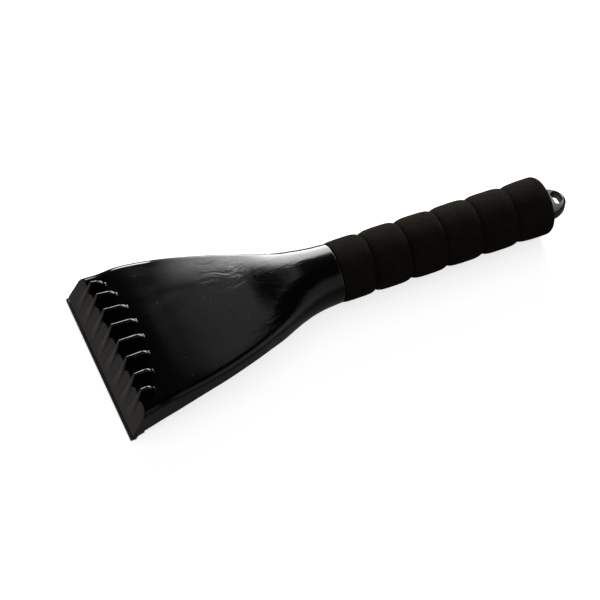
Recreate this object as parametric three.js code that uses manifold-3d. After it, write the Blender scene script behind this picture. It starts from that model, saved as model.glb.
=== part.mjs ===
// Windshield ice scraper: a moulded fan-shaped head with ice-breaker fins, a blade strip along its
// foot, a tube pushed into its neck, a foam grip on the tube and a plug with a hanging eye.
//
// Millimetres, +Z up, the scraper lying on its blade and grip. x runs from the blade's edge (0) to
// the tip of the hanging eye, y across the blade and z up from the surface that it lies on. The
// last lines move the whole group so that its origin is below the middle of its box.
import * as THREE from "three";
import { mergeVertices } from "three/addons/utils/BufferGeometryUtils.js";
import Module from "manifold-3d";

const wasm = await Module();
wasm.setup();

// Driving dimensions
const OVERALL_LENGTH = 286;
const BLADE_WIDTH = 100;
const GRIP_RADIUS = 17.8;          // crest of the foam lobes
const AXIS_HEIGHT = GRIP_RADIUS;   // the handle's axis, with the grip touching the surface
const NECK_RADIUS = 17;
const NECK_END = 140.2;            // where the head ends and the foam begins
const FIT_GAP = 0.3;               // clearance between touching pieces

// Head shell
const WALL = 2.8;
const FRONT_WALL = 3.6;            // extra thickness behind the bevel, for the blade's slot
const HOLLOW_END = 99;
const FOOT_HEIGHT = 2.5;           // underside of the head's foot, above the blade strip
const FOOT_X = 0.9;
const BEVEL_LEAN = 1 / Math.tan(THREE.MathUtils.degToRad(63.5));
const LEAN_END = 36;               // behind this the sections stand upright
const NECK_BLEND = [88, 127];      // where the flat section turns into the round neck
const HEAD_STATIONS = [0, 4, 9, 14, 20, 27, 36, 48, 60, 72, 82, 90, 97, 104, 111, 118, 125, 132];

// Profiles of the head along x, as [x, value] pairs
const HALF_WIDTH = [[0, 48.9], [10, 47.6], [32, 46.3], [56, 41.8], [79, 35], [97, 28.2],
  [112, 22.4], [127, 18.5], [140.2, 17]];
const FOOT_FLARE = [[0, 0.9], [8, 0.9], [20, 0.4], [32, 0.2], [140.2, 0]];
const CROWN_HEIGHT = [[0, 21.6], [10, 22.3], [18, 25], [27, 26.2], [42, 25.9], [62, 25.2],
  [78, 25.2], [92, 26.2], [106, 28.7], [119, 31.7], [130, 34], [140.2, 34.8]];
const SHOULDER_HEIGHT = [[0, 20.4], [10, 21.8], [20, 23], [45, 23.6], [92, 23.8], [140.2, 23.8]];
const RIM_HEIGHT = [[0, 2.5], [7, 2.6], [20, 6.8], [34, 10.4], [50, 12.5], [85, 12.6], [100, 11],
  [140.2, 10]];
const CORNER_RADIUS = [[0, 5], [12, 4.6], [26, 3.6], [36, 3.4], [100, 3.6], [140.2, 3]];
const INNER_CORNER = 2;            // least corner radius inside the hollow

// Ice-breaker fins: distance from the middle, apex height and rear end of the ridge
const FINS = [[5.65, 29.4, 25.4], [16.9, 29, 24.2], [28.2, 28.5, 21.8], [37.9, 27.3, 18.6]];
const FIN_FRONT_X = 10.5;
const FIN_FOOT = [4.9, 10.8];
const FIN_RIDGE_WIDTH = 1.7;
const FIN_RIDGE_DROP = 1;          // fall of the ridge towards its rear
const FIN_HOOK = [[-4, 0], [-1.6, -0.9], [0, -2.8]];  // rounded rear end, from where the ridge would end
const FIN_ROOT = [8.9, 17];        // how far back and how high the fin's root lies inside the shell
const FIN_DRAFT = 0.075;           // how fast each side spreads below the ridge
const FIN_SPLAY = -0.165;          // degrees of turn for each millimetre from the middle

// Underside ribs
const RIB_THICKNESS = 2;
const LONG_RIB_Y = [-22, 0, 22];
const CROSS_RIB_X = [39, 69];
const RIB_RECESS = 3;              // how far the ribs stop short of the rim

// Handle
const TUBE_RADIUS = 12.5;
const TUBE_WALL = 2;
const TUBE_START = 122;
const TUBE_END = 267;
const FOAM_START = NECK_END + FIT_GAP;
const FOAM_END = 272.2;
const FIRST_GROOVE = 160.6;
const GROOVE_PITCH = 22.22;
const GROOVE_COUNT = 5;
const GROOVE_RADIUS = 15;
const FOAM_END_ROUND = 4.4;
const FOAM_TAPER = 0.5;            // how much thinner the grip is at its tail

// End plug
const SPIGOT_LENGTH = 22;
const SPIGOT_CHAMFER = 1;
const FLANGE_THICKNESS = 5.4;
const FLANGE_DOME = [[1.2, 10.1], [1.8, 6.5], [2, 0]];  // low dome on the flange, [height, radius]
const EYE_HALF_WIDTH = 9.8;
const EYE_THICKNESS = 5.8;
const EYE_HEIGHT = AXIS_HEIGHT - 2;
const EYE_CENTRE_X = 272.7;
const EYE_EDGE_ROUND = 1.2;
const EYE_ROOT = 2;                // how far the eye runs back into the flange
const HOLE_CENTRE_X = 281.2;
const HOLE_SIZE = [4.4, 9.8];
const HOLE_CORNER = 2;

// Blade strip
const STRIP_THICKNESS = 2.2;
const STRIP_CHAMFER = 0.8;
const STRIP_PLAN = [[0, 0], [3.2, 0], [5, 1.5], [9, 2.4]];  // outline of an end, [x, inset]
const TONGUE = { x: 3.6, thickness: 1.2, height: 3, endGap: 6 };

const ROUND_SIDES = 36;
const SLIVER = 0.01;

function through(knots, x) {
  // Smooth curve through the [x, value] pairs
  let i = 0;
  while (i < knots.length - 2 && x > knots[i + 1][0]) i += 1;
  const slope = (k) => {
    const a = knots[Math.max(k - 1, 0)];
    const b = knots[Math.min(k + 1, knots.length - 1)];
    return (b[1] - a[1]) / (b[0] - a[0]);
  };
  const span = knots[i + 1][0] - knots[i][0];
  const t = (x - knots[i][0]) / span;
  const t2 = t * t;
  const t3 = t2 * t;
  return (2 * t3 - 3 * t2 + 1) * knots[i][1] + (t3 - 2 * t2 + t) * span * slope(i)
    + (3 * t2 - 2 * t3) * knots[i + 1][1] + (t3 - t2) * span * slope(i + 1);
}

function fractions(count) {
  return Array.from({ length: count + 1 }, (_, k) => k / count);
}

function headOutline(x, inset) {
  // Closed outline [y, z] of the head's section, shrunk by the inset; a cavity runs out below
  const w = through(HALF_WIDTH, x) - inset;
  const foot = w + through(FOOT_FLARE, x);
  const crown = through(CROWN_HEIGHT, x) - inset;
  const shoulder = through(SHOULDER_HEIGHT, x) - inset;
  const rim = inset > 0 ? -AXIS_HEIGHT : through(RIM_HEIGHT, x);
  const r = Math.max(through(CORNER_RADIUS, x) - inset, INNER_CORNER);
  const top = (y) => crown + (shoulder - crown) * (y / w) ** 2;
  const cornerZ = top(w - r) - r;
  const underside = fractions(4).map((t) => [foot * t, rim]);
  const side = fractions(3).slice(1, -1).map((t) => [foot + (w - foot) * t, rim + (cornerZ - rim) * t]);
  const corner = fractions(4).map((t) => {
    const a = t * Math.PI / 2;
    return [w - r + r * Math.cos(a), cornerZ + r * Math.sin(a)];
  });
  const across = fractions(6).slice(1).map((t) => (w - r) * (1 - t)).map((y) => [y, top(y)]);
  const half = [...underside, ...side, ...corner, ...across];
  const mirrored = half.slice(1, -1).reverse().map(([y, z]) => [-y, z]);
  return blendToNeck([...half, ...mirrored], x, w, crown, rim);
}

function blendToNeck(outline, x, w, crown, rim) {
  // Towards the grip each point moves onto the oval and then the circle of the neck
  const s = THREE.MathUtils.smoothstep(x, ...NECK_BLEND);
  const middle = (crown + rim) / 2;
  const halfHeight = (crown - rim) / 2;
  return outline.map(([y, z]) => {
    const angle = Math.atan2((z - middle) / halfHeight, y / w);
    const round = [w * Math.cos(angle), AXIS_HEIGHT + NECK_RADIUS * Math.sin(angle)];
    return [y + (round[0] - y) * s, z + (round[1] - z) * s];
  });
}

function loft(rings) {
  // Closed geometry from rings of points [x, y, z], capped at both ends from its middle
  const n = rings[0].length;
  const positions = rings.flat(2);
  const index = [];
  for (let i = 0; i + 1 < rings.length; i += 1) {
    for (let j = 0; j < n; j += 1) {
      const a = i * n + j;
      const b = i * n + (j + 1) % n;
      index.push(a, b, a + n, b, b + n, a + n);
    }
  }
  for (const [ring, flip] of [[0, true], [rings.length - 1, false]]) {
    const middle = [0, 1, 2].map((k) => rings[ring].reduce((sum, p) => sum + p[k], 0) / n);
    const centre = positions.length / 3;
    positions.push(...middle);
    for (let j = 0; j < n; j += 1) {
      const a = ring * n + j;
      const b = ring * n + (j + 1) % n;
      index.push(...(flip ? [b, a, centre] : [a, b, centre]));
    }
  }
  const geometry = new THREE.BufferGeometry();
  geometry.setAttribute("position", new THREE.Float32BufferAttribute(positions, 3));
  geometry.setIndex(index);
  return geometry;
}

function headRing(x, inset) {
  // One section of the head, leaning with the bevel near the front
  const lean = BEVEL_LEAN * (1 - THREE.MathUtils.smoothstep(x, 0, LEAN_END));
  return headOutline(x, inset).map(([y, z]) => [FOOT_X + x + lean * (z - FOOT_HEIGHT), y, z]);
}

function solid(geometry) {
  // Manifold solid from a closed geometry
  const bare = geometry.clone();
  bare.deleteAttribute("normal");
  bare.deleteAttribute("uv");
  const merged = mergeVertices(bare, 1e-4);
  return new wasm.Manifold(new wasm.Mesh({
    numProp: 3,
    vertProperties: Float32Array.from(merged.attributes.position.array),
    triVerts: Uint32Array.from(merged.index.array),
  }));
}

function geometryOf(manifold) {
  // Geometry of a manifold solid, with slivers from its cuts merged away
  const mesh = manifold.simplify(SLIVER).getMesh();
  const geometry = new THREE.BufferGeometry();
  geometry.setAttribute("position", new THREE.BufferAttribute(mesh.vertProperties, 3));
  geometry.setIndex(new THREE.BufferAttribute(mesh.triVerts, 1));
  return geometry;
}

function turned(profile) {
  // Solid of revolution about the handle's axis from [x, radius] points
  const geometry = new THREE.LatheGeometry(profile.map(([x, r]) => new THREE.Vector2(r, x)), ROUND_SIDES);
  geometry.rotateZ(-Math.PI / 2);
  geometry.translate(0, 0, AXIS_HEIGHT);
  return solid(geometry);
}

function block(x0, x1, y0, y1, z0, z1) {
  const geometry = new THREE.BoxGeometry(x1 - x0, y1 - y0, z1 - z0);
  geometry.translate((x0 + x1) / 2, (y0 + y1) / 2, (z0 + z1) / 2);
  return solid(geometry);
}

function fin(y, apex, rear) {
  // Steep front facet, nearly level ridge, rounded rear end and sides that spread downwards
  const hook = FIN_HOOK.map(([back, down]) => [rear + back, apex - FIN_RIDGE_DROP + down]);
  const profile = [FIN_FOOT, [FIN_FRONT_X, apex], ...hook, [rear - 1, FIN_ROOT[1]],
    [FIN_ROOT[0], FIN_FOOT[1]]];
  const side = (sign) => profile.map(([x, z]) => {
    const halfWidth = FIN_RIDGE_WIDTH / 2 + FIN_DRAFT * (apex - z);
    return [x - FIN_FRONT_X, sign * halfWidth, z];
  });
  const geometry = loft([side(-1), side(1)]);
  geometry.rotateZ(THREE.MathUtils.degToRad(FIN_SPLAY * y));
  geometry.translate(FIN_FRONT_X, y, 0);
  return solid(geometry);
}

function hollow(inset) {
  // The space under the head's top, open below, shrunk from the outside by the inset
  const start = FRONT_WALL + inset;
  const end = HOLLOW_END - inset;
  const between = HEAD_STATIONS.filter((x) => x > start + WALL / 2 && x < end - WALL / 2);
  return solid(loft([start, ...between, end].map((x) => headRing(x, inset))));
}

function ribs() {
  // Crossed ribs that stop short of the rim and run half a wall into the shell
  const half = RIB_THICKNESS / 2;
  const side = BLADE_WIDTH / 2;
  const high = AXIS_HEIGHT * 2;
  const long = LONG_RIB_Y.map((y) => block(0, HOLLOW_END, y - half, y + half, 0, high));
  const cross = CROSS_RIB_X.map((x) => block(x - half, x + half, -side, side, 0, high));
  const web = [...long, ...cross].reduce((joined, rib) => joined.add(rib));
  const below = RIM_HEIGHT.map(([x, rim]) => {
    const z = rim + RIB_RECESS;
    return [[x, -side, -high], [x, side, -high], [x, side, z], [x, -side, z]];
  });
  return web.intersect(hollow(WALL / 2)).subtract(solid(loft(below)));
}

function makeHead() {
  const socket = turned([[TUBE_START - FIT_GAP, 0], [TUBE_START - FIT_GAP, TUBE_RADIUS + FIT_GAP],
    [NECK_END + FIT_GAP, TUBE_RADIUS + FIT_GAP], [NECK_END + FIT_GAP, 0]]);
  let body = solid(loft([...HEAD_STATIONS, NECK_END - FOOT_X].map((x) => headRing(x, 0))));
  for (const [y, apex, rear] of FINS) body = body.add(fin(y, apex, rear)).add(fin(-y, apex, rear));
  return geometryOf(body.subtract(hollow(WALL)).add(ribs()).subtract(socket).subtract(bladeSlot()));
}

function bladeSlot() {
  const half = BLADE_WIDTH / 2 - TONGUE.endGap + FIT_GAP;
  const x = TONGUE.x;
  return block(x - FIT_GAP, x + TONGUE.thickness + FIT_GAP, -half, half, 0,
    STRIP_THICKNESS + TONGUE.height + FIT_GAP);
}

function makeBlade() {
  // Flat strip with a chamfered front edge and a tongue that locks into the head's foot
  const end = STRIP_PLAN.map(([x, inset]) => [x, BLADE_WIDTH / 2 - inset]);
  const bottom = [...end, ...end.map(([x, y]) => [x, -y]).reverse()];
  const levels = [[0, 0], [STRIP_THICKNESS - STRIP_CHAMFER, 0], [STRIP_THICKNESS, STRIP_CHAMFER]];
  const strip = loft(levels.map(([z, cut]) => bottom.map(([x, y]) => [Math.max(x, cut), y, z])).reverse());
  const half = BLADE_WIDTH / 2 - TONGUE.endGap;
  const tongue = block(TONGUE.x, TONGUE.x + TONGUE.thickness, -half, half, STRIP_THICKNESS - 1,
    STRIP_THICKNESS + TONGUE.height);
  return geometryOf(solid(strip).add(tongue));
}

function makeTube() {
  const inner = TUBE_RADIUS - TUBE_WALL;
  return geometryOf(turned([[TUBE_START, inner], [TUBE_START, TUBE_RADIUS], [TUBE_END, TUBE_RADIUS],
    [TUBE_END, inner], [TUBE_START, inner]]));
}

function crestRadius(x) {
  return GRIP_RADIUS - FOAM_TAPER * (x - FOAM_START) / (FOAM_END - FOAM_START);
}

function lobe(start, end, startRadius, endRadius) {
  // Rounded bulge of the foam between two grooves, without its last point
  const crest = crestRadius((start + end) / 2);
  return [-1, -0.93, -0.72, -0.3, 0.3, 0.72, 0.93].map((k) => {
    const edge = k < 0 ? startRadius : endRadius;
    const rise = Math.sqrt(1 - Math.abs(k) ** 4);
    return [(start + end) / 2 + k * (end - start) / 2, edge + (crest - edge) * rise];
  });
}

function makeGrip() {
  const bore = TUBE_RADIUS + FIT_GAP;
  const profile = [[FOAM_START, bore]];
  let start = FOAM_START;
  for (let i = 0; i < GROOVE_COUNT; i += 1) {
    const end = FIRST_GROOVE + i * GROOVE_PITCH;
    profile.push(...lobe(start, end, i ? GROOVE_RADIUS : NECK_RADIUS, GROOVE_RADIUS));
    start = end;
  }
  const shoulder = FOAM_END - FOAM_END_ROUND;
  const last = lobe(start, 2 * shoulder - start, GROOVE_RADIUS, GROOVE_RADIUS).slice(0, 4);
  profile.push(...last);
  for (const k of [0, 1, 2, 3, 4]) {
    const a = k * Math.PI / 8;
    profile.push([shoulder + FOAM_END_ROUND * Math.sin(a),
      last[3][1] - FOAM_END_ROUND * (1 - Math.cos(a))]);
  }
  profile.push([FOAM_END, bore], [FOAM_START, bore]);
  return geometryOf(turned(profile));
}

function roundedRectangle(target, cx, cy, width, height, radius) {
  const [x0, x1] = [cx - width / 2, cx + width / 2];
  const [y0, y1] = [cy - height / 2, cy + height / 2];
  target.moveTo(x0 + radius, y0);
  target.lineTo(x1 - radius, y0).absarc(x1 - radius, y0 + radius, radius, -Math.PI / 2, 0);
  target.lineTo(x1, y1 - radius).absarc(x1 - radius, y1 - radius, radius, 0, Math.PI / 2);
  target.lineTo(x0 + radius, y1).absarc(x0 + radius, y1 - radius, radius, Math.PI / 2, Math.PI);
  target.lineTo(x0, y0 + radius).absarc(x0 + radius, y0 + radius, radius, Math.PI, Math.PI * 1.5);
  return target;
}

function makePlug() {
  // Spigot in the tube, flange in the foam's end, and a D-shaped eye lying flat
  const spigot = TUBE_RADIUS - TUBE_WALL - FIT_GAP;
  const flange = TUBE_END + FIT_GAP;
  const face = flange + FLANGE_THICKNESS;
  const end = TUBE_END - SPIGOT_LENGTH;
  const body = turned([[end, 0], [end, spigot - SPIGOT_CHAMFER],
    [end + SPIGOT_CHAMFER, spigot], [flange, spigot], [flange, TUBE_RADIUS], [face, TUBE_RADIUS],
    ...FLANGE_DOME.map(([height, radius]) => [face + height, radius])]);
  const reach = OVERALL_LENGTH - EYE_CENTRE_X - EYE_EDGE_ROUND;
  const half = EYE_HALF_WIDTH - EYE_EDGE_ROUND;
  const outline = new THREE.Shape();
  outline.moveTo(face - EYE_ROOT, -half);
  outline.lineTo(EYE_CENTRE_X, -half);
  outline.absellipse(EYE_CENTRE_X, 0, reach, half, -Math.PI / 2, Math.PI / 2);
  outline.lineTo(face - EYE_ROOT, half);
  const eye = new THREE.ExtrudeGeometry(outline, { depth: EYE_THICKNESS - 2 * EYE_EDGE_ROUND,
    bevelSize: EYE_EDGE_ROUND, bevelThickness: EYE_EDGE_ROUND, bevelSegments: 2, curveSegments: 20 });
  eye.translate(0, 0, EYE_HEIGHT - EYE_THICKNESS / 2 + EYE_EDGE_ROUND);
  const hole = roundedRectangle(new THREE.Shape(), HOLE_CENTRE_X, 0, ...HOLE_SIZE, HOLE_CORNER);
  const drill = new THREE.ExtrudeGeometry(hole, { depth: 2 * EYE_THICKNESS, bevelEnabled: false,
    curveSegments: 4 });
  drill.translate(0, 0, EYE_HEIGHT - EYE_THICKNESS);
  return geometryOf(body.add(solid(eye)).subtract(solid(drill)));
}

const glossBlack = { color: 0x101012, roughness: 0.22, metalness: 0 };
const PIECES = [
  ["scraper_head", makeHead(), glossBlack],
  ["blade_strip", makeBlade(), { color: 0x141414, roughness: 0.35, metalness: 0 }],
  ["handle_tube", makeTube(), { color: 0x3a3a3c, roughness: 0.5, metalness: 0 }],
  ["foam_grip", makeGrip(), { color: 0x0d0b09, roughness: 0.95, metalness: 0 }],
  ["end_plug", makePlug(), glossBlack],
];

const scraper = new THREE.Group();
for (const [name, geometry, look] of PIECES) {
  const mesh = new THREE.Mesh(geometry, new THREE.MeshStandardMaterial(look));
  mesh.name = name;
  scraper.add(mesh);
}
scraper.position.x = -OVERALL_LENGTH / 2;

export default scraper;
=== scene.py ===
# Windshield ice scraper: the looks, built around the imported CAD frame.
#
# The smooth moulded pieces are made as fields: a function gives each point's distance from the
# surface, and a dual mesh is drawn where it is zero. Their sizes are in millimetres from the
# blade's edge, as in the CAD model, and are turned into the frame's metres when a mesh is made.
import math

import bpy
import numpy as np
from mathutils import Matrix, Vector, noise


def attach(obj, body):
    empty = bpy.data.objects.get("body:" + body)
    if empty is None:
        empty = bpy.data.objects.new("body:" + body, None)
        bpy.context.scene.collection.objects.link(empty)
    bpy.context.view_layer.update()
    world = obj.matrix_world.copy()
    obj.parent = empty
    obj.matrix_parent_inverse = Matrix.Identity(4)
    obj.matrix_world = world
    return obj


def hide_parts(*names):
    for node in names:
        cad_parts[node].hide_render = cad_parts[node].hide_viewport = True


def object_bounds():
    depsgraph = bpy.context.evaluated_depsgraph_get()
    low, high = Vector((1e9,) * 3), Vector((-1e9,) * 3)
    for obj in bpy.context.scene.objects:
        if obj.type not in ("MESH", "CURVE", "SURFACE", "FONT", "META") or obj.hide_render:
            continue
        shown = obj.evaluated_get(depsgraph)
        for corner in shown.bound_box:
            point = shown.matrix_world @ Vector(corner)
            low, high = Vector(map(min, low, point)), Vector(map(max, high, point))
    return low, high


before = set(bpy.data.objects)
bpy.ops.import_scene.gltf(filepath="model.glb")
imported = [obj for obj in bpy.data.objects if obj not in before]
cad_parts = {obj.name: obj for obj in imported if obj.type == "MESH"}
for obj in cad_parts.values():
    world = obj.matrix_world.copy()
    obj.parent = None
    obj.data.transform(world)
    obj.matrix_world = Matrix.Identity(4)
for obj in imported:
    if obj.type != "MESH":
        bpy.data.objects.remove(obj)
CAD_BOX = [list(corner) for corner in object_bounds()]
MM = 0.001
TINY = 1e-9
OVERALL_LENGTH = (CAD_BOX[1][0] - CAD_BOX[0][0]) / MM
ORIGIN_X = -CAD_BOX[0][0] / MM

# Handle
GRIP_RADIUS = 17.8
AXIS_HEIGHT = GRIP_RADIUS
NECK_RADIUS = 17.0
NECK_END = 140.2
TUBE_RADIUS = 12.5
TUBE_WALL = 2.0
TUBE_START = 122.0
TUBE_END = 267.0
FIT_GAP = 0.3

# Head
WALL = 2.8
FRONT_WALL = 3.6
HOLLOW_END = 99.0
FOOT_HEIGHT = 2.5
FOOT_X = 0.9
BEVEL_ANGLE = math.radians(63.5)
LEAN_END = 36.0
LEAN_ROUNDS = 14
NECK_BLEND = (88.0, 127.0)
BEVEL_EDGE = 0.45
NECK_EDGE = 0.8
RIM_EDGE = 0.9
RIM_INNER_EDGE = 0.6
HOLLOW_SIDE_FILLET = 2.5
HOLLOW_FRONT_FILLET = 2.0
HOLLOW_REAR_FILLET = 4.0

# Curves along the head, as (distance back from the bevel, value)
HALF_WIDTH = [(0, 48.9), (10, 47.6), (32, 46.3), (56, 41.8), (79, 35), (97, 28.2), (112, 22.4),
              (127, 18.5), (140.2, 17)]
FOOT_FLARE = [(0, 0.9), (8, 0.9), (20, 0.4), (32, 0.2), (140.2, 0)]
CROWN_HEIGHT = [(0, 21.6), (10, 22.3), (18, 25), (27, 26), (42, 25.6), (62, 25.3), (78, 25.5),
                (92, 26.4), (106, 28.7), (119, 31.7), (130, 34), (140.2, 34.8)]
SHOULDER_HEIGHT = [(0, 20.4), (10, 21.8), (20, 23), (45, 23.6), (70, 23.4), (92, 23.5),
                   (140.2, 23.8)]
RIM_HEIGHT = [(0, 2.9), (7, 2.9), (20, 6.8), (34, 10.4), (50, 12.5), (85, 12.6), (100, 11),
              (140.2, 10)]
CORNER_RADIUS = [(0, 5), (12, 4.6), (26, 3.6), (36, 3.4), (100, 3.6), (140.2, 3)]

# Fins: distance from the middle, apex height and rear end of the ridge.
# The sloping rear passes through a point just inside the ridge's end.
FINS = [(5.65, 29.4, 25.4), (16.9, 29.0, 24.2), (28.2, 28.5, 21.8), (37.9, 27.3, 18.6)]
FIN_FRONT_X = 10.5
FIN_FOOT = (4.9, 10.8)
FIN_RIDGE_WIDTH = 1.7
FIN_SWELL = 0.25
FIN_DRAFT = 0.075
FIN_SPLAY = -0.165
FIN_REACH = 32.0
FIN_LOW = 8.0
FIN_RIDGE_FALL = 1.2
FIN_REAR_INSET = (0.6, 2.6)
FIN_REAR_NORMAL = (0.88, 0.47)
FIN_REAR_ROUND = 2.4
FIN_APEX_EDGE = 0.3
FIN_SIDE_EDGE = 0.95
FIN_FILLET = 0.9
GUTTER_DEPTH = 2.0
GUTTER_WIDTH = 2.6
GUTTER_FADE = (3.0, 15.0)

# Underside ribs
RIB_THICKNESS = 2.0
LONG_RIB_Y = (-22.0, 0.0, 22.0)
CROSS_RIB_X = (39.0, 69.0)
RIB_RECESS = 3.0
RIB_EDGE = 0.6
RIB_FILLET = 0.8

# Foam grip
FOAM_START = NECK_END + FIT_GAP
FOAM_END = 272.2
FIRST_GROOVE = 160.6
GROOVE_PITCH = 22.22
GROOVE_COUNT = 5
GROOVE_RADIUS = 15.0
FOAM_END_ROUND = 4.4
FOAM_TAPER = 0.5
FOAM_BORE = TUBE_RADIUS + FIT_GAP
FOAM_SIDES = 240
LOBE_POINTS = 45
LOBE_CROWDING = 0.7
END_POINTS = 10
BORE_STEPS = 24
FOAM_LUMPS = 0.12
LUMP_SCALE = 0.09
FOAM_PORES = 0.05
PORE_SCALE = 1.6
SKIN_DEPTH = 0.5

# End plug
SPIGOT_LENGTH = 22.0
FLANGE_THICKNESS = 5.4
FLANGE_EDGE = 0.4
DOME_HEIGHT = 2.0
DOME_FALL = 3.2
PLUG_EDGE = 1.0
EYE_HALF_WIDTH = 9.8
EYE_THICKNESS = 5.8
EYE_HEIGHT = AXIS_HEIGHT - 2
EYE_CENTRE_X = 272.7
EYE_PLAN_SCALE = 0.8
EYE_ROOT = 2.5
EYE_FILLET = 1.4
HOLE_CENTRE_X = 281.2
HOLE_SIZE = (4.2, 8.2)
HOLE_CENTRE_Y = 0.8
HOLE_CORNER = 2.0
HOLE_EDGE = 0.7

# Blade strip
STRIP_THICKNESS = 2.2
STRIP_CHAMFER = 0.8
STRIP_EDGE = 0.22
STRIP_PLAN = [(0, 50), (3.2, 50), (5, 48.5), (9, 47.6)]

# Grid stretches for the fields, as (from, to, step). The shift keeps the grid off the middle plane.
HEAD_GRID_X = [(-1, 30, 0.36), (30, 142, 0.8)]
HEAD_GRID_Y = [(-52, 52, 0.42)]
HEAD_GRID_Z = [(-1, 37, 0.42)]
PLUG_GRID_X = [(243, 267, 0.8), (267, 287, 0.34)]
PLUG_GRID_Y = [(-14, 14, 0.34)]
GRID_SCALE = 1
GRID_SHIFT = 0.01

# Camera: angles in degrees, the point it looks at in millimetres and its distance in metres
CAMERA_AZIMUTH = 26.97
CAMERA_ELEVATION = 54.09
CAMERA_ROLL = 4.04
CAMERA_TARGET = (109.15, -22.9, 37.8)
CAMERA_DISTANCE = 1.2
CAMERA_LENS = 133.2

# Surroundings: direction of each soft round glow, its inner and outer angle, and its strength
GLOWS = [((0.93, -0.31, 0.2), 12, 45, 0.34),
         ((0.5, -0.8, 0.34), 8, 32, 0.3),
         ((-0.84, -0.22, -0.5), 20, 80, 0.3),
         ((0, 0, -1), 30, 180, 0.13),
         ((0.3, 0.87, 0.36), 9, 17, 20)]

# Glowing cards in metres: name, first corner, tilt about x in degrees, (width, height),
# fades at the start and end of the width, the same for the height, and radiance
CARDS = [("rear_card", (-0.078, 0.1, 0), 90, (0.42, 0.135), (0.06, 0.05), (0.001, 0.05), 8),
         ("tail_card", (0.198, 0.1, 0.148), 90, (0.042, 0.034), (0.012, 0.001), (0.01, 0.014), 9),
         ("top_card", (-0.086, 0, 0.13), 0, (0.078, 0.1), (0.05, 0.022), (0.012, 0.001), 0.5)]
SOFTBOX_HEIGHT = 2.2
SOFTBOX_SIZE = 3.6
SOFTBOX_RADIANCE = 0.5


# Fields

def through(knots, x):
    """Smooth curve through (x, value) pairs, for an array of x."""
    xs = np.array([k[0] for k in knots], float)
    ys = np.array([k[1] for k in knots], float)
    before = np.maximum(np.arange(len(xs)) - 1, 0)
    after = np.minimum(np.arange(len(xs)) + 1, len(xs) - 1)
    slopes = (ys[after] - ys[before]) / (xs[after] - xs[before])
    x = np.clip(x, xs[0], xs[-1])
    i = np.clip(np.searchsorted(xs, x, side="right") - 1, 0, len(xs) - 2)
    span = xs[i + 1] - xs[i]
    t = (x - xs[i]) / span
    start = (2 * t ** 3 - 3 * t ** 2 + 1) * ys[i] + (t ** 3 - 2 * t ** 2 + t) * span * slopes[i]
    end = (3 * t ** 2 - 2 * t ** 3) * ys[i + 1] + (t ** 3 - t ** 2) * span * slopes[i + 1]
    return start + end


def smoothstep(x, low, high):
    """0 up to low, 1 from high, and a smooth rise between."""
    t = np.clip((x - low) / (high - low), 0, 1)
    return t * t * (3 - 2 * t)


def both(a, b, radius):
    """Inside both shapes, with the edge between them rounded."""
    corner = np.hypot(np.maximum(a + radius, 0), np.maximum(b + radius, 0))
    return np.minimum(np.maximum(a, b), -radius) + corner


def either(a, b, radius):
    """Inside either shape, with a fillet between them."""
    return -both(-a, -b, radius)


def station(x, z):
    """Distance back from the bevel, along sections that lean with it near the front."""
    s = x - FOOT_X
    for _ in range(LEAN_ROUNDS):
        lean = (1 - smoothstep(s, 0, LEAN_END)) / math.tan(BEVEL_ANGLE)
        s = x - FOOT_X - lean * (z - FOOT_HEIGHT)
    return s


def head_sides(s, y, z):
    """Heights above the top, outside the side wall and below the rim of the head's flat part."""
    width = through(HALF_WIDTH, s)
    crown = through(CROWN_HEIGHT, s)
    top = crown + (through(SHOULDER_HEIGHT, s) - crown) * (y / width) ** 2
    rim = through(RIM_HEIGHT, s)
    flare = through(FOOT_FLARE, s) * np.clip((top - z) / (top - rim), 0, 1)
    return z - top, np.abs(y) - width - flare, rim - z


def gutters(s, y):
    """Depth of the shallow gutters that run along the feet of the fins."""
    depth = GUTTER_DEPTH * (1 - smoothstep(s, *GUTTER_FADE))
    return sum(depth * np.exp(-((np.abs(y) - middle) / GUTTER_WIDTH) ** 2) for middle, _, _ in FINS)


def neck(s, y, z):
    """The oval that narrows to the round neck."""
    width = through(HALF_WIDTH, s)
    return np.hypot(y * NECK_RADIUS / width, z - AXIS_HEIGHT) - NECK_RADIUS


def fin(x, y, z, middle, apex, rear):
    """One ice-breaker fin: steep facet, nearly level ridge and rounded rear."""
    turn = math.radians(FIN_SPLAY * middle)
    along = (x - FIN_FRONT_X) * math.cos(turn) + (y - middle) * math.sin(turn)
    across = (y - middle) * math.cos(turn) - (x - FIN_FRONT_X) * math.sin(turn)
    swell = FIN_SWELL * smoothstep(along, 0, rear - FIN_FRONT_X)
    side = np.abs(across) - FIN_RIDGE_WIDTH / 2 - swell - FIN_DRAFT * (apex - z)
    rise = Vector((FIN_FRONT_X - FIN_FOOT[0], apex - FIN_FOOT[1])).normalized()
    facet = (z - apex) * rise.x - along * rise.y
    length = rear - FIN_FRONT_X
    ridge = z - apex + FIN_RIDGE_FALL * (np.clip(along, 0, length) / length) ** 2
    behind = along - length + FIN_REAR_INSET[0]
    above = z - apex + FIN_REAR_INSET[1]
    back = behind * FIN_REAR_NORMAL[0] + above * FIN_REAR_NORMAL[1]
    outline = both(both(ridge, back, FIN_REAR_ROUND), facet, FIN_APEX_EDGE)
    outline = np.maximum(outline, FIN_LOW - z)
    return both(outline, side, FIN_SIDE_EDGE)


def add_fins(outer, x, y, z):
    """The row of fins, the same on both sides of the middle."""
    for middle, apex, rear in FINS:
        outer = either(outer, fin(x, y, z, middle, apex, rear), FIN_FILLET)
        outer = either(outer, fin(x, y, z, -middle, apex, rear), FIN_FILLET)
    return outer


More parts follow.
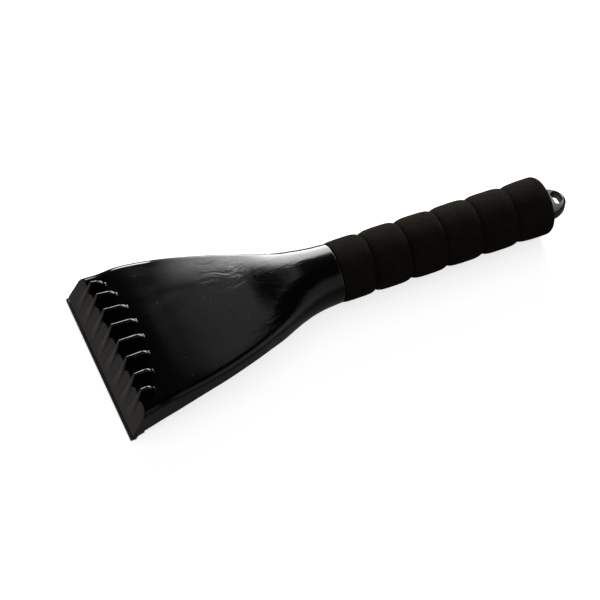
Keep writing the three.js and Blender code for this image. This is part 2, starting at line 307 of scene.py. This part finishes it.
def head_field(x, y, z):
    """The whole moulding: solid outside, fins, hollow underside with its ribs, and socket."""
    s = station(x, z)
    top, side, bottom = head_sides(s, y, z)
    radius = through(CORNER_RADIUS, s)
    flat = both(both(top + gutters(s, y), side, radius), bottom, RIM_EDGE)
    outer = flat + (neck(s, y, z) - flat) * smoothstep(s, *NECK_BLEND)
    outer = both(outer, -s * math.sin(BEVEL_ANGLE), BEVEL_EDGE)
    outer = both(outer, x - NECK_END, NECK_EDGE)
    if x.min() < FIN_REACH:
        outer = add_fins(outer, x, y, z)
    hollow = both(top + WALL, side + WALL, HOLLOW_SIDE_FILLET)
    hollow = both(hollow, FRONT_WALL + WALL - s, HOLLOW_FRONT_FILLET)
    hollow = both(hollow, s - HOLLOW_END + WALL, HOLLOW_REAR_FILLET)
    shell = both(outer, -hollow, RIM_INNER_EDGE)
    return cut_socket(either(shell, ribs(x, y, z, s, outer), RIB_FILLET), x, y, z)


def ribs(x, y, z, s, outer):
    """Ribs along and across the hollow, with their feet set back from the rim."""
    web = np.inf
    for middle in LONG_RIB_Y:
        web = np.minimum(web, np.abs(y - middle))
    for middle in CROSS_RIB_X:
        web = np.minimum(web, np.abs(x - middle))
    web = web - RIB_THICKNESS / 2
    recess = through(RIM_HEIGHT, s) + RIB_RECESS - z
    within = np.maximum(outer + WALL / 2, s - HOLLOW_END)
    return both(np.maximum(web, within), recess, RIB_EDGE)


def cut_socket(field, x, y, z):
    """Cuts the tube's blind bore out of the neck."""
    bore = np.hypot(y, z - AXIS_HEIGHT) - TUBE_RADIUS - FIT_GAP
    bore = np.maximum(bore, TUBE_START - FIT_GAP - x)
    return np.maximum(field, -bore)


def plug_field(x, y, z):
    """Spigot, flange with a low dome, and the eye lying flat with its slotted hole."""
    radial = np.hypot(y, z - AXIS_HEIGHT)
    flange = TUBE_END + FIT_GAP
    face = flange + FLANGE_THICKNESS
    spigot_radius = TUBE_RADIUS - TUBE_WALL - FIT_GAP
    spigot = both(radial - spigot_radius, TUBE_END - SPIGOT_LENGTH - x, PLUG_EDGE)
    spigot = np.maximum(spigot, x - face)
    dome = x - face - DOME_HEIGHT + DOME_FALL * (radial / TUBE_RADIUS) ** 2
    disc = both(both(radial - TUBE_RADIUS, dome, PLUG_EDGE), flange - x, FLANGE_EDGE)
    eye = both(eye_plan(x, y), np.abs(z - EYE_HEIGHT) - EYE_THICKNESS / 2, PLUG_EDGE)
    eye = np.maximum(eye, face - EYE_ROOT - x)
    body = either(np.minimum(spigot, disc), eye, EYE_FILLET)
    return both(body, -eye_hole(x, y), HOLE_EDGE)


def eye_plan(x, y):
    """Half oval of the eye seen from above; the scale makes it about a distance."""
    reach = OVERALL_LENGTH - EYE_CENTRE_X
    forward = np.maximum(x - EYE_CENTRE_X, 0) / reach
    return (np.hypot(forward, y / EYE_HALF_WIDTH) - 1) * reach * EYE_PLAN_SCALE


def eye_hole(x, y):
    """The slotted hole seen from above, a rectangle with round corners."""
    corner_x = np.maximum(np.abs(x - HOLE_CENTRE_X) - HOLE_SIZE[0] / 2 + HOLE_CORNER, 0)
    corner_y = np.maximum(np.abs(y - HOLE_CENTRE_Y) - HOLE_SIZE[1] / 2 + HOLE_CORNER, 0)
    return np.hypot(corner_x, corner_y) - HOLE_CORNER


# Meshes

def grid_crossings(values, axes, axis):
    """Where the surface crosses the grid's lines along one axis.

    Gives the points, the four cells round each line, and whether the line leaves the solid.
    """
    low = [slice(None)] * 3
    high = [slice(None)] * 3
    low[axis] = slice(0, -1)
    high[axis] = slice(1, None)
    inside = values < 0
    index = np.array(np.nonzero(inside[tuple(low)] != inside[tuple(high)]))
    step = index.copy()
    step[axis] += 1
    here = values[tuple(index)]
    there = values[tuple(step)]
    share = here / (here - there)
    point = np.stack([axes[a][index[a]] for a in range(3)], 1)
    point[:, axis] += share * (axes[axis][step[axis]] - axes[axis][index[axis]])
    cells = []
    for du, dv in ((-1, -1), (0, -1), (0, 0), (-1, 0)):
        cell = index.copy()
        cell[(axis + 1) % 3] += du
        cell[(axis + 2) % 3] += dv
        cells.append(tuple(cell))
    return point, cells, here < 0


def dual_mesh(field, xs, ys, zs):
    """Points, quads and normals of the surface where the field is zero."""
    slabs = [field(x[None, None, None], ys[None, :, None], zs[None, None, :]) for x in xs]
    values = np.concatenate(slabs)
    crossings = [grid_crossings(values, (xs, ys, zs), axis) for axis in range(3)]
    shape = tuple(n - 1 for n in values.shape)
    total = np.zeros(shape + (3,))
    count = np.zeros(shape)
    for point, cells, _ in crossings:
        for cell in cells:
            np.add.at(total, cell, point)
            np.add.at(count, cell, 1)
    used = count > 0
    number = np.full(shape, -1)
    number[used] = np.arange(used.sum())
    faces = []
    for _, cells, outward in crossings:
        quads = np.stack([number[cell] for cell in cells], 1)
        quads[~outward] = quads[~outward][:, ::-1]
        faces.append(quads)
    points = settle(field, total[used] / count[used][:, None])
    return points, np.concatenate(faces), gradient(field, points)


def gradient(field, points, step=0.02):
    x, y, z = points.T
    change = np.stack([field(x + step, y, z) - field(x - step, y, z),
                       field(x, y + step, z) - field(x, y - step, z),
                       field(x, y, z + step) - field(x, y, z - step)], 1)
    return change / (2 * step)


def settle(field, points, rounds=3, reach=0.2, least_slope=0.05):
    """Moves each point onto the surface, each round no further than the reach."""
    for _ in range(rounds):
        slope = gradient(field, points)
        height = field(*points.T)
        move = slope * (height / np.maximum((slope ** 2).sum(1), least_slope))[:, None]
        length = np.linalg.norm(move, axis=1, keepdims=True)
        points = points - move * np.minimum(1, reach / np.maximum(length, TINY))
    return points


def link_new(name, data):
    item = bpy.data.objects.new(name, data)
    bpy.context.scene.collection.objects.link(item)
    return item


def new_object(name, points, faces, normals=None):
    """Object on the root body, from points in millimetres from the blade's edge."""
    mesh = bpy.data.meshes.new(name)
    place = (np.asarray(points, float) - (ORIGIN_X, 0, 0)) * MM
    mesh.from_pydata(place.tolist(), [], [list(f) for f in faces])
    mesh.shade_smooth()
    mesh.update()
    if normals is not None:
        unit = normals / np.maximum(np.linalg.norm(normals, axis=1, keepdims=True), TINY)
        mesh.normals_split_custom_set_from_vertices(unit.tolist())
    piece = link_new(name, mesh)
    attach(piece, "root")
    return piece


def finish_piece(piece, material, node):
    """Gives a piece its material and hides the CAD node it stands for."""
    piece.data.materials.append(material)
    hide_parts(node)
    return piece


def spaced(stops):
    lines = [np.arange(low, high, step * GRID_SCALE) for low, high, step in stops]
    return np.concatenate(lines)


def make_head():
    ys = spaced(HEAD_GRID_Y) + GRID_SHIFT
    mesh = dual_mesh(head_field, spaced(HEAD_GRID_X), ys, spaced(HEAD_GRID_Z))
    return new_object("head_shell", *mesh)


def make_plug():
    ys = spaced(PLUG_GRID_Y) + GRID_SHIFT
    mesh = dual_mesh(plug_field, spaced(PLUG_GRID_X), ys, ys + AXIS_HEIGHT)
    return new_object("tail_plug", *mesh)


def foam_lobes():
    """Outline (x, radius) of the lobes. The last one stops at its crest, before the end's round."""
    edges = [FOAM_START] + [FIRST_GROOVE + i * GROOVE_PITCH for i in range(GROOVE_COUNT)]
    edges.append(2 * (FOAM_END - FOAM_END_ROUND) - edges[-1])
    outline = []
    for i in range(GROOVE_COUNT + 1):
        start, end = edges[i:i + 2]
        middle = (start + end) / 2
        crest = GRIP_RADIUS - FOAM_TAPER * (middle - FOAM_START) / (FOAM_END - FOAM_START)
        for k in np.linspace(-1, 1, LOBE_POINTS)[:-1]:
            k = math.copysign(abs(k) ** LOBE_CROWDING, k)
            if i == GROOVE_COUNT and k > 0:
                break
            edge = NECK_RADIUS if i == 0 and k < 0 else GROOVE_RADIUS
            rise = math.sqrt(1 - abs(k) ** 4)
            outline.append((middle + k * (end - start) / 2, edge + (crest - edge) * rise))
    return outline


def foam_profile():
    """Closed outline (x, radius) of the foam sleeve, round its lobes and back along its bore."""
    outline = foam_lobes()
    crest = outline[-1][1]
    for a in np.linspace(0, math.pi / 2, END_POINTS):
        x = FOAM_END - FOAM_END_ROUND * (1 - math.sin(a))
        outline.append((x, crest - FOAM_END_ROUND * (1 - math.cos(a))))
    face = crest - FOAM_END_ROUND - FOAM_BORE
    outline += [(FOAM_END, FOAM_BORE + face * t) for t in (0.75, 0.5, 0.25, 0)]
    length = FOAM_END - FOAM_START
    outline += [(FOAM_END - length * k / BORE_STEPS, FOAM_BORE) for k in range(1, BORE_STEPS + 1)]
    outline += [(FOAM_START, FOAM_BORE + (NECK_RADIUS - FOAM_BORE) * t) for t in (0.33, 0.67)]
    return outline


def foam_ring(x, radius):
    """One ring of the sleeve. Outside the bore it has lumps and pores."""
    ring = []
    for j in range(FOAM_SIDES):
        a = 2 * math.pi * j / FOAM_SIDES
        direction = Vector((0, math.cos(a), math.sin(a)))
        r = radius
        if radius > FOAM_BORE + SKIN_DEPTH:
            spot = Vector((x, 0, 0)) + direction * radius
            r += FOAM_LUMPS * (noise.noise(spot * LUMP_SCALE) - 1)
            r += FOAM_PORES * noise.noise(spot * PORE_SCALE)
        ring.append((x, r * direction.y, AXIS_HEIGHT + r * direction.z))
    return ring


def make_foam():
    """The sleeve: turned profile with the slight unevenness and open skin of cut foam."""
    rings = [foam_ring(x, radius) for x, radius in foam_profile()]
    faces = []
    for i in range(len(rings)):
        here = i * FOAM_SIDES
        following = (i + 1) % len(rings) * FOAM_SIDES
        for j in range(FOAM_SIDES):
            k = (j + 1) % FOAM_SIDES
            faces.append((here + j, here + k, following + k, following + j))
    return new_object("foam_sleeve", sum(rings, []), faces)


def make_strip():
    """The blade strip, with a chamfered front edge and softened corners."""
    plan = STRIP_PLAN + [(x, -y) for x, y in reversed(STRIP_PLAN)]
    levels = ((0, 0), (STRIP_THICKNESS - STRIP_CHAMFER, 0), (STRIP_THICKNESS, STRIP_CHAMFER))
    points = [(max(x, cut), y, z) for z, cut in levels for x, y in plan]
    n = len(plan)
    faces = [tuple(range(n)), tuple(range(3 * n - 1, 2 * n - 1, -1))]
    for level in (0, 1):
        for j in range(n):
            k = (j + 1) % n
            faces.append((level * n + k, level * n + j, (level + 1) * n + j, (level + 1) * n + k))
    piece = new_object("edge_strip", points, faces)
    bevel = piece.modifiers.new("edges", "BEVEL")
    bevel.width = STRIP_EDGE * MM
    bevel.segments = 2
    bevel.limit_method = "ANGLE"
    return piece


# Materials

class Nodes:
    """Short hand for building a Principled material."""

    def __init__(self, name):
        self.material = bpy.data.materials.new(name)
        self.material.use_nodes = True
        self.tree = self.material.node_tree
        self.shader = self.tree.nodes["Principled BSDF"]
        self.place = self.add("ShaderNodeTexCoord").outputs["Object"]

    def add(self, kind, inputs=None, **settings):
        node = self.tree.nodes.new(kind)
        for key, value in settings.items():
            setattr(node, key, value)
        for key, value in (inputs or {}).items():
            self.feed(node.inputs[key], value)
        return node

    def feed(self, socket, value):
        """Links another node's output to the socket, or sets the socket's own value."""
        if isinstance(value, bpy.types.NodeSocket):
            self.tree.links.new(value, socket)
        else:
            socket.default_value = value

    def shade(self, **values):
        """Sets the shader's inputs, named with _ for each space."""
        for name, value in values.items():
            self.feed(self.shader.inputs[name.replace("_", " ")], value)

    def noise(self, scale, detail=4.0, stretch=(1, 1, 1), distortion=0.0):
        mapped = self.add("ShaderNodeMapping", {"Vector": self.place, "Scale": stretch})
        made = self.add("ShaderNodeTexNoise", {"Vector": mapped.outputs["Vector"], "Scale": scale,
                                               "Detail": detail, "Distortion": distortion})
        return made.outputs["Fac"]

    def range(self, value, low, high, to_low, to_high):
        made = self.add("ShaderNodeMapRange", {"Value": value, "From Min": low, "From Max": high,
                                               "To Min": to_low, "To Max": to_high})
        return made.outputs["Result"]

    def fade(self, value, dark, full):
        """Rises smoothly from 0 at dark to 1 at full."""
        made = self.add("ShaderNodeMapRange", {"Value": value, "From Min": dark, "From Max": full},
                        interpolation_type="SMOOTHSTEP")
        return made.outputs["Result"]

    def maths(self, operation, a, b):
        made = self.add("ShaderNodeMath", operation=operation)
        self.feed(made.inputs[0], a)
        self.feed(made.inputs[1], b)
        return made.outputs[0]

    def mix(self, factor, a, b):
        made = self.add("ShaderNodeMix", data_type="RGBA")
        self.feed(made.inputs["Factor"], factor)
        self.feed(made.inputs["A"], (*a, 1) if isinstance(a, tuple) else a)
        self.feed(made.inputs["B"], (*b, 1))
        return made.outputs["Result"]

    def bump(self, height, distance, strength=1.0):
        made = self.add("ShaderNodeBump", {"Height": height, "Distance": distance,
                                           "Strength": strength})
        self.feed(self.shader.inputs["Normal"], made.outputs["Normal"])


def dust(nodes, cells, size, share):
    """One for the few tiny specks of dust, zero elsewhere."""
    spots = nodes.add("ShaderNodeTexVoronoi", {"Vector": nodes.place, "Scale": cells})
    near = nodes.range(spots.outputs["Distance"], size, size * 0.6, 0, 1)
    channels = nodes.add("ShaderNodeSeparateColor", {"Color": spots.outputs["Color"]})
    chosen = nodes.maths("LESS_THAN", channels.outputs["Red"], share)
    return nodes.maths("MULTIPLY", near, chosen)


def moulded_black():
    """Glossy black moulding with flow marks near the neck, hair scratches and dust."""
    nodes = Nodes("moulded_black")
    specks = dust(nodes, cells=330, size=0.06, share=0.5)
    tone = nodes.mix(nodes.noise(35), (0.0025, 0.0024, 0.0026), (0.004, 0.0038, 0.0041))
    along = nodes.add("ShaderNodeSeparateXYZ", {"Vector": nodes.place}).outputs["X"]
    flow = nodes.range(nodes.noise(60, 5, (0.35, 1, 1), 1.2), 0.3, 0.7, 0.1, 0.17)
    gloss = nodes.maths("MULTIPLY", flow, nodes.range(along, -0.117, -0.107, 0.55, 1))
    dull = nodes.maths("MULTIPLY", specks, 0.5)
    nodes.shade(Base_Color=nodes.mix(specks, tone, (0.12, 0.11, 0.09)),
                Roughness=nodes.maths("ADD", gloss, dull), IOR=1.46)
    towards_neck = nodes.range(along, -0.085, -0.06, 0, 1)
    before_grip = nodes.range(along, -0.03, -0.01, 1, 0.1)
    near_neck = nodes.maths("MULTIPLY", towards_neck, before_grip)
    flow_marks = nodes.maths("MULTIPLY", nodes.noise(110, 6, (0.6, 1, 1), 2), near_neck)
    waves = nodes.maths("ADD", nodes.noise(28, 3), nodes.maths("MULTIPLY", flow_marks, 2))
    scratches = nodes.maths("MULTIPLY", nodes.noise(900, 2, (0.06, 1, 1)), 0.03)
    nodes.bump(nodes.maths("ADD", waves, scratches), 0.00012)
    return nodes.material


def edge_black():
    """Satin black strip, scuffed along its edge."""
    nodes = Nodes("edge_black")
    scuffs = nodes.noise(500, 3, (1, 0.08, 1))
    worn = nodes.range(scuffs, 0.62, 0.75, 0, 0.5)
    nodes.shade(Base_Color=nodes.mix(worn, (0.03, 0.03, 0.028), (0.09, 0.09, 0.085)),
                Roughness=nodes.range(scuffs, 0.35, 0.75, 0.24, 0.42))
    nodes.bump(scuffs, 0.00003)
    return nodes.material


def foam_black():
    """Dull black foam: fine open cells with painted shade in their pores, and a warm dusty tone."""
    nodes = Nodes("foam_black")
    cells = nodes.add("ShaderNodeTexVoronoi", {"Vector": nodes.place, "Scale": 1300.0})
    patches = nodes.range(nodes.noise(160, 5), 0.3, 0.7, 0, 1)
    tone = nodes.mix(patches, (0.0092, 0.008, 0.006), (0.0135, 0.0118, 0.0092))
    # Painted shade: the pores' centres are darkened in colour, standing in for shade in the small
    # hollows the bump makes.
    pores = nodes.range(cells.outputs["Distance"], 0.1, 0.45, 0.6, 0)
    pore_shaded_tone = nodes.mix(pores, tone, (0.004, 0.0036, 0.0029))
    flecks = nodes.range(nodes.noise(2100, 1), 0.64, 0.72, 0, 0.6)
    nodes.shade(Base_Color=nodes.mix(flecks, pore_shaded_tone, (0.03, 0.027, 0.0215)), Roughness=1.0,
                Specular_IOR_Level=0.02)
    nodes.bump(nodes.maths("ADD", nodes.noise(1000, 2), cells.outputs["Distance"]), 0.00016, 0.7)
    return nodes.material


def tube_grey():
    """Plain extruded tube, seen only if the grip is cut away."""
    nodes = Nodes("tube_grey")
    lines = nodes.noise(700, 2, (0.03, 1, 1))
    nodes.shade(Base_Color=nodes.mix(lines, (0.03, 0.03, 0.031), (0.045, 0.045, 0.046)),
                Roughness=nodes.range(lines, 0.3, 0.7, 0.4, 0.55))
    nodes.bump(lines, 0.00004)
    return nodes.material


def matt_glow(name, grey, strength):
    """Matt surface that also gives off white light of its own."""
    nodes = Nodes(name)
    nodes.shade(Base_Color=(grey, grey, grey, 1), Roughness=1.0, Specular_IOR_Level=0.0,
                Emission_Color=(1, 1, 1, 1), Emission_Strength=strength)
    return nodes


# Camera, floor and lights

def make_camera():
    data = bpy.data.cameras.new("camera")
    data.sensor_width = 36
    data.lens = CAMERA_LENS
    data.clip_start = 0.05
    data.clip_end = 20
    turn = Matrix.Rotation(math.radians(-CAMERA_AZIMUTH), 4, "Z")
    turn = turn @ Matrix.Rotation(math.radians(90 - CAMERA_ELEVATION), 4, "X")
    turn = turn @ Matrix.Rotation(math.radians(CAMERA_ROLL), 4, "Z")
    target = (Vector(CAMERA_TARGET) - Vector((ORIGIN_X, 0, 0))) * MM
    back = turn @ Vector((0, 0, 1))
    camera = link_new("camera", data)
    camera.matrix_world = Matrix.Translation(target + back * CAMERA_DISTANCE) @ turn
    bpy.context.scene.camera = camera


def make_floor(half=4, grey=0.85, glow_strength=0.75):
    """Pale floor with a little light of its own, which lights nothing else."""
    mesh = bpy.data.meshes.new("floor")
    corners = [(-half, -half, 0), (half, -half, 0), (half, half, 0), (-half, half, 0)]
    mesh.from_pydata(corners, [], [(0, 1, 2, 3)])
    mesh.materials.append(matt_glow("pale_floor", grey, glow_strength).material)
    floor = link_new("floor", mesh)
    floor.visible_diffuse = False
    floor.visible_glossy = False


def make_softbox():
    """Large light overhead that lights surfaces but never shows as a reflection."""
    data = bpy.data.lights.new("overhead_softbox", "AREA")
    data.size = SOFTBOX_SIZE
    data.energy = SOFTBOX_RADIANCE * math.pi * SOFTBOX_SIZE ** 2
    light = link_new("overhead_softbox", data)
    light.location = (0, 0, SOFTBOX_HEIGHT)
    light.visible_camera = False
    light.visible_glossy = False


def make_card(name, corner, tilt, size, width_fades, height_fades, radiance):
    """Glowing card seen only as a reflection; each side fades out over its own width."""
    mesh = bpy.data.meshes.new(name)
    width, height = size
    corners = [(0, 0, 0), (width, 0, 0), (width, height, 0), (0, height, 0)]
    mesh.from_pydata(corners, [], [(0, 1, 2, 3)])
    nodes = matt_glow(name, 0, radiance)
    across = nodes.add("ShaderNodeSeparateXYZ", {"Vector": nodes.place})
    strength = radiance
    for axis, length, (rise, fall) in (("X", width, width_fades), ("Y", height, height_fades)):
        place = across.outputs[axis]
        strength = nodes.maths("MULTIPLY", strength, nodes.fade(place, 0, rise))
        strength = nodes.maths("MULTIPLY", strength, nodes.fade(place, length, length - fall))
    nodes.shade(Emission_Strength=strength)
    mesh.materials.append(nodes.material)
    card = link_new(name, mesh)
    card.matrix_world = Matrix.Translation(corner) @ Matrix.Rotation(math.radians(tilt), 4, "X")
    card.visible_camera = False
    card.visible_diffuse = False
    card.visible_shadow = False


def glow(tree, direction, inner, outer, strength):
    """Soft round patch of light in the surroundings, by the angle from its direction."""
    place = tree.nodes.new("ShaderNodeTexCoord").outputs["Generated"]
    dot = tree.nodes.new("ShaderNodeVectorMath")
    dot.operation = "DOT_PRODUCT"
    tree.links.new(place, dot.inputs[0])
    dot.inputs[1].default_value = Vector(direction).normalized()
    ramp = tree.nodes.new("ShaderNodeMapRange")
    ramp.interpolation_type = "SMOOTHSTEP"
    tree.links.new(dot.outputs["Value"], ramp.inputs["Value"])
    ramp.inputs["From Min"].default_value = math.cos(math.radians(outer))
    ramp.inputs["From Max"].default_value = math.cos(math.radians(inner))
    ramp.inputs["To Max"].default_value = strength
    return ramp.outputs["Result"]


def make_world():
    """Dark warm surroundings with the soft glows added together."""
    world = bpy.data.worlds.new("studio")
    world.use_nodes = True
    tree = world.node_tree
    total, *others = [glow(tree, *patch) for patch in GLOWS]
    for patch in others:
        add = tree.nodes.new("ShaderNodeMath")
        tree.links.new(total, add.inputs[0])
        tree.links.new(patch, add.inputs[1])
        total = add.outputs[0]
    background = tree.nodes["Background"]
    tree.links.new(total, background.inputs["Strength"])
    background.inputs["Color"].default_value = (1, 0.96, 0.91, 1)
    bpy.context.scene.world = world


make_camera()
make_floor()
make_world()
make_softbox()
for card in CARDS:
    make_card(*card)
bpy.context.scene.view_settings.view_transform = "Standard"

plastic = moulded_black()
finish_piece(make_head(), plastic, "scraper_head")
finish_piece(make_strip(), edge_black(), "blade_strip")
finish_piece(make_plug(), plastic, "end_plug")
finish_piece(make_foam(), foam_black(), "foam_grip")
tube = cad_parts["handle_tube"]
tube.data.materials.clear()
tube.data.materials.append(tube_grey())

bpy.context.view_layer.update()
